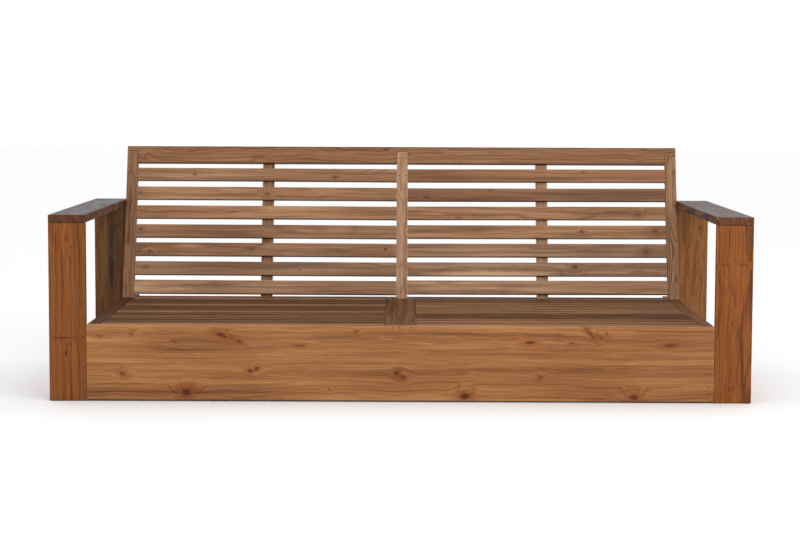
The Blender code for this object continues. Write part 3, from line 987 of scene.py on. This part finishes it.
def slats(name, members, material, slot, member_tints, seed, knots=None):
    """One piece holding all the slats of a bay; knots are listed by the slat's row, from 1."""
    boards = [measure(member) for member in members]
    along = slat_direction(members[0])
    across = boards[0]["axes"][1]
    across = (across - along * along.dot(across)).normalized()
    through = along.cross(across)
    turn = Matrix((along, across, through)).transposed().to_euler()
    length, width, thickness = [extent(members[0], axis) for axis in (along, across, through)]
    values = {"Length": length, "Width": width, "Thickness": thickness, "Rounding": SLAT_ROUNDING,
              "Bow": BOW, "Turn": tuple(turn), "Seed": seed, "Finish": material}
    widen = [(1.0, extent(member, across) / width, 1.0) for member in members]
    sap = [1.0 if member == SAPPY_SLAT else 0.0 for member in members]
    attributes = {"tint": ("FLOAT_COLOR", member_tints), "widen": ("FLOAT_VECTOR", widen),
                  "sap": ("FLOAT", sap), "knot_a": ("FLOAT_VECTOR", knots_of(boards, knots or {}, 0)),
                  "knot_b": ("FLOAT_VECTOR", knots_of(boards, knots or {}, 1))}
    mesh = grow(name, slat_tree, slat_inputs, [board["middle"] for board in boards], values, attributes)
    print(f"{name}: {len(boards)} slats, the first {length:.3f} m long and {width / MM:.1f} mm wide")
    return finish_piece(name, mesh, material, slot, *members)


# %% [markdown]
# ### The slats of the back and the seat
#
# Every slat has its own shade, and the slats of the back have their own knots.  The slats of the back
# face the eye, so their shades are listed; those of the seat are drawn at random.  Shades and knots
# travel as attributes of the points, so one finish serves a whole bay; the other way would be a
# finish for every slat.

# %% Back and seat slats
SHADES = {"gold": "#ece0d2", "pale": "#ffffff", "brown": "#e2d9d1", "grey": "#e4e2e2", "dark": "#cfc6be",
          "ruddy": "#e6d4c6", "deep": "#c0b4a9", "plum": "#c9bab1"}
BACK_SHADES = {"left": ("brown", "gold", "gold", "brown", "brown", "grey", "pale"),
               "right": ("ruddy", "plum", "gold", "gold", "grey", "grey", "pale")}
SEAT_SHADES = ("pale", "pale", "gold", "dark", "deep")
seat_shades = random.Random(21)
slat_wood = teak("planed_teak_slats", BACK_BROWNS, ring=4.0, rings=0.24, bands=0.9, fibres=0.9,
                 drift=16.0, sway=8.0, flecks=0.3, calm=1.4, dulling=0.7, shift=0.4, sap_edge=True,
                 carried=("knot_a", "knot_b"), halo="#7d5138", eye="#45291c")
slat_knots = {
    "left": {1: ((-0.244, -9, 6), (-0.758, 0, 4)), 2: ((-0.492, -3, 6), (-0.957, 0, 4)),
             4: ((-0.949, 4, 5),), 5: ((-0.914, -10, 5), (-0.056, 3, 6)),
             6: ((-0.367, -3, 3), (-0.927, 2, 4))},
    "right": {1: ((0.665, 12, 4),), 2: ((0.093, -12, 8), (0.327, 15, 4)),
              3: ((0.210, -17, 3), (0.863, -5, 6)), 4: ((0.658, 0, 6), (0.924, 4, 8)),
              5: ((0.890, -4, 9),), 6: ((0.631, 8, 8),)},
}
for seed, side in enumerate(("left", "right")):
    members = [f"back_slat_{side}_{row}" for row in range(1, 8)]
    shades = [linear(SHADES[shade]) for shade in BACK_SHADES[side]]
    slats(f"back_slats_{side}", members, slat_wood, "teak_slats", shades, 3 + seed, slat_knots[side])
    members = [f"seat_slat_{side}_{row:02d}" for row in range(1, 13)]
    shades = [linear(SHADES[seat_shades.choice(SEAT_SHADES)]) for member in members]
    slats(f"seat_slats_{side}", members, seat_stick_wood, "teak_seat", shades, 13 + seed)

# %% [markdown]
# ## Plugs
#
# The screws that hold the frame sit in counterbored holes closed with plugs of darker end grain.  A
# second tree sets a shallow domed disc on every point, square to the face it sits in.  The points
# are listed by face, as a joiner would mark them out.

# %% The plug tree
plug_tree = bpy.data.node_groups.new("plugs_on_points", "GeometryNodeTree")
plug_inputs = interface(plug_tree, ("Radius", "NodeSocketFloat"), ("Rise", "NodeSocketFloat"),
                        ("Finish", "NodeSocketMaterial"))
given = add(plug_tree, "NodeGroupInput").outputs
disc = add(plug_tree, "GeometryNodeMeshUVSphere", {"Segments": 16, "Rings": 8, "Radius": given["Radius"]})
squash = add(plug_tree, "ShaderNodeMath", {0: given["Rise"], 1: given["Radius"]}, operation="DIVIDE")
squash = add(plug_tree, "ShaderNodeCombineXYZ", {"X": 1.0, "Y": 1.0, "Z": squash.outputs[0]})
disc = add(plug_tree, "GeometryNodeTransform", {"Geometry": disc.outputs[0], "Scale": squash.outputs[0]})
spot = add(plug_tree, "GeometryNodeInputPosition").outputs[0]
disc = add(plug_tree, "GeometryNodeStoreNamedAttribute",
           {"Geometry": disc.outputs[0], "Name": "grain", "Value": spot},
           data_type="FLOAT_VECTOR", domain="POINT")
facing = add(plug_tree, "GeometryNodeInputNamedAttribute", {"Name": "facing"}, data_type="FLOAT_VECTOR")
turn = add(plug_tree, "FunctionNodeAlignRotationToVector", {"Vector": facing.outputs["Attribute"]}, axis="Z")
copies = add(plug_tree, "GeometryNodeInstanceOnPoints",
             {"Points": given["Geometry"], "Instance": disc.outputs[0], "Rotation": turn.outputs[0]})
solid = add(plug_tree, "GeometryNodeRealizeInstances", {0: copies.outputs[0]})
solid = add(plug_tree, "GeometryNodeSetMaterial", {"Geometry": solid.outputs[0], "Material": given["Finish"]})
add(plug_tree, "NodeGroupOutput", {0: solid.outputs[0]})
print("plug tree:", len(plug_tree.nodes), "nodes")

# %% [markdown]
# The plugs sit in the apron, which is upright, and in the middle upright, which leans, so each point
# carries the direction that its face looks in.  End grain shows the rings close together.

# %% Plugs
plug_wood = teak("end_grain_plugs", ("#6e4426", "#54321c", "#3a2110"), ring=1.5)
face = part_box("front_apron")[0].y
plugs = [((0.989, face, z), (0, -1, 0)) for z in (0.226, 0.135, 0.092, 0.051, 0.029)]
plugs += [((x, face, 0.240), (0, -1, 0)) for x in (-0.025, -0.005, 0.036)]
up_back, out_back = leaning @ Vector((0, 0, 1)), leaning @ Vector((0, -1, 0))


def on_face(name, x, above):
    """A point on the front face of a leaning board, at x and so far up it from its middle."""
    board = measure(name)
    thin = min(board["size"])
    point = board["middle"] + up_back * above + out_back * thin / 2
    return (Vector((x, point.y, point.z)), out_back)


tall = measure("back_stile_centre")["size"][0]
for up, pair in ((0.527, (-0.0055, 0.0145)), (0.461, (-0.010, 0.017)), (0.025, (0.0, 0.0165))):
    plugs += [on_face("back_stile_centre", x, up - tall / 2) for x in pair]


def set_discs(name, spots, radius, rise, material):
    """One piece of discs on a list of (point, normal)."""
    mesh = grow(name, plug_tree, plug_inputs, [point for point, normal in spots],
                {"Radius": radius, "Rise": rise, "Finish": material},
                {"facing": ("FLOAT_VECTOR", [tuple(normal) for point, normal in spots]),
                 "tint": ("FLOAT_COLOR", [linear("#ffffff")] * len(spots))})
    finish_piece(name, mesh, material, "teak_hidden")
    print(len(spots), name)


set_discs("plugs", plugs, radius=2.4 * MM, rise=0.5 * MM, material=plug_wood)

# %% [markdown]
# The slats are nailed to the battens from the front, with two small brads at each crossing.  Their
# heads are mild steel, dark and beginning to rust, which gives the eye a small brown speck.  The tree
# of the plugs makes them too, with other sizes.

# %% Brads
brad = bpy.data.materials.new("dark_steel")
brad.use_nodes = True
steel = brad.node_tree.nodes["Principled BSDF"]
rust = add(brad.node_tree, "ShaderNodeTexNoise", {
    "Vector": add(brad.node_tree, "ShaderNodeTexCoord").outputs["Object"], "Scale": 900.0})
speckle = add(brad.node_tree, "ShaderNodeValToRGB", {"Fac": rust.outputs["Fac"]})
set_ramp(speckle, ((0.3, "#2e2622"), (0.7, "#4a3426")))
brad.node_tree.links.new(speckle.outputs["Color"], steel.inputs["Base Color"])
steel.inputs["Metallic"].default_value = 0.6
steel.inputs["Roughness"].default_value = 0.55

brads = []
for side in ("left", "right"):
    x = measure(f"back_batten_{side}")["middle"].x
    for row in range(1, 8):
        brads += [on_face(f"back_slat_{side}_{row}", x + shift, lift)
                  for shift, lift in ((-8 * MM, 9 * MM), (8 * MM, -9 * MM))]
set_discs("brads", brads, radius=1.4 * MM, rise=0.3 * MM, material=brad)

# %% [markdown]
# ## Blocks and bearers
#
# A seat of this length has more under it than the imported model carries.  A square block stands behind
# each leg, in the corner that the leg makes with the side rail, and is screwed to both.  Two more
# bearers carry the middle of the slats.  They are plain sawn sticks, built as boxes and rounded like
# everything else.

# %% A sawn stick


def stick(name, low, high, tint, heart):
    """A plain sawn stick between two corners."""
    bm = bmesh.new()
    low, high = Vector(low), Vector(high)
    bmesh.ops.create_cube(bm, size=1.0)
    for vertex in bm.verts:
        vertex.co = Vector([(a + b) / 2 + (b - a) * c for a, b, c in zip(low, high, vertex.co)])
    bmesh.ops.bevel(bm, geom=bm.edges[:], offset=1.5 * MM, segments=2, profile=0.5, affect="EDGES")
    add_rims(bm)
    mesh = bpy.data.meshes.new(name)
    bm.to_mesh(mesh)
    bm.free()
    mesh.shade_smooth()
    size = high - low
    order = sorted(range(3), key=lambda axis: -size[axis])
    board = {"middle": (low + high) / 2, "size": [size[axis] for axis in order],
             "axes": [Vector(upright.col[axis]) for axis in order]}
    store_grain(mesh, board, tint, sawn_from(heart))
    return finish_piece(name, mesh, rough_wood, "teak_hidden")


# %% Blocks and bearers
SLIP = 0.3 * MM             # a piece of paper's room between two boards
BLOCK = 40 * MM
BLOCK_TOP = 0.160
BEARER_DEPTH = 60 * MM
BEARER_THICK = 26 * MM
behind_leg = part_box("front_leg_left")[1].y + SLIP
before_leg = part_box("rear_leg_left")[0].y - SLIP
beside_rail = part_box("side_rail_right")[1].x + SLIP
for end, start in (("front", behind_leg), ("rear", before_leg - BLOCK)):
    for side, sign in (("left", -1), ("right", 1)):
        sides = sorted((sign * beside_rail, sign * (beside_rail + BLOCK)))
        stick(f"corner_block_{end}_{side}", (sides[0], start, 0.010),
              (sides[1], start + BLOCK, BLOCK_TOP), "#f4e8da", 0.05)

under_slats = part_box("seat_slat_left_01")[0].z - SLIP
span = (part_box("front_apron")[1].y + SLIP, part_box("rear_rail")[0].y - SLIP)
for side in ("left", "right"):
    x = measure(f"back_batten_{side}")["middle"].x
    stick(f"mid_bearer_{side}", (x - BEARER_THICK / 2, span[0], under_slats - BEARER_DEPTH),
          (x + BEARER_THICK / 2, span[1], under_slats), "#efe2d2", 0.06)
print("4 corner blocks and 2 bearers set;", len(pieces), "pieces in all")

# %% [markdown]
# ## Studio
#
# The seat stands on a wide matt floor in an evenly white room.  A large soft light, high up in front
# and to the right, lifts the floor until it almost meets the white of the room, and leaves only a
# faint shadow under the seat.  A small hard lamp would put black shadows between the slats.

# %% Floor and light
pale = bpy.data.materials.new("pale_floor")
pale.use_nodes = True
floor_shader = pale.node_tree.nodes["Principled BSDF"]
floor_shader.inputs["Base Color"].default_value = linear("#f8f8f8")
floor_shader.inputs["Roughness"].default_value = 0.9
FLOOR_SIZE = 60.0
floor_mesh = bpy.data.meshes.new("floor")
half = FLOOR_SIZE / 2
floor_mesh.from_pydata([(-half, -half, 0), (half, -half, 0), (half, half, 0), (-half, half, 0)], [],
                       [(0, 1, 2, 3)])
floor_mesh.materials.append(pale)
floor = bpy.data.objects.new("floor", floor_mesh)
floor.location.z = -0.5 * MM
bpy.context.collection.objects.link(floor)

world = bpy.data.worlds.new("white_room")
world.use_nodes = True
world.node_tree.nodes["Background"].inputs["Color"].default_value = (1, 1, 1, 1)
world.node_tree.nodes["Background"].inputs["Strength"].default_value = 1.04
bpy.context.scene.world = world
bpy.context.scene.view_settings.view_transform = "Standard"

panel = bpy.data.lights.new("soft_panel", "AREA")
panel.shape = "RECTANGLE"
panel.size, panel.size_y = 4.0, 2.5
panel.energy = 60.0
key = bpy.data.objects.new("soft_panel", panel)
key.location = (2.6, cad_low.y - 3.6, 3.4)
key.rotation_euler = (Vector((0, 0, 0.4)) - key.location).to_track_quat("-Z", "Y").to_euler()
bpy.context.collection.objects.link(key)
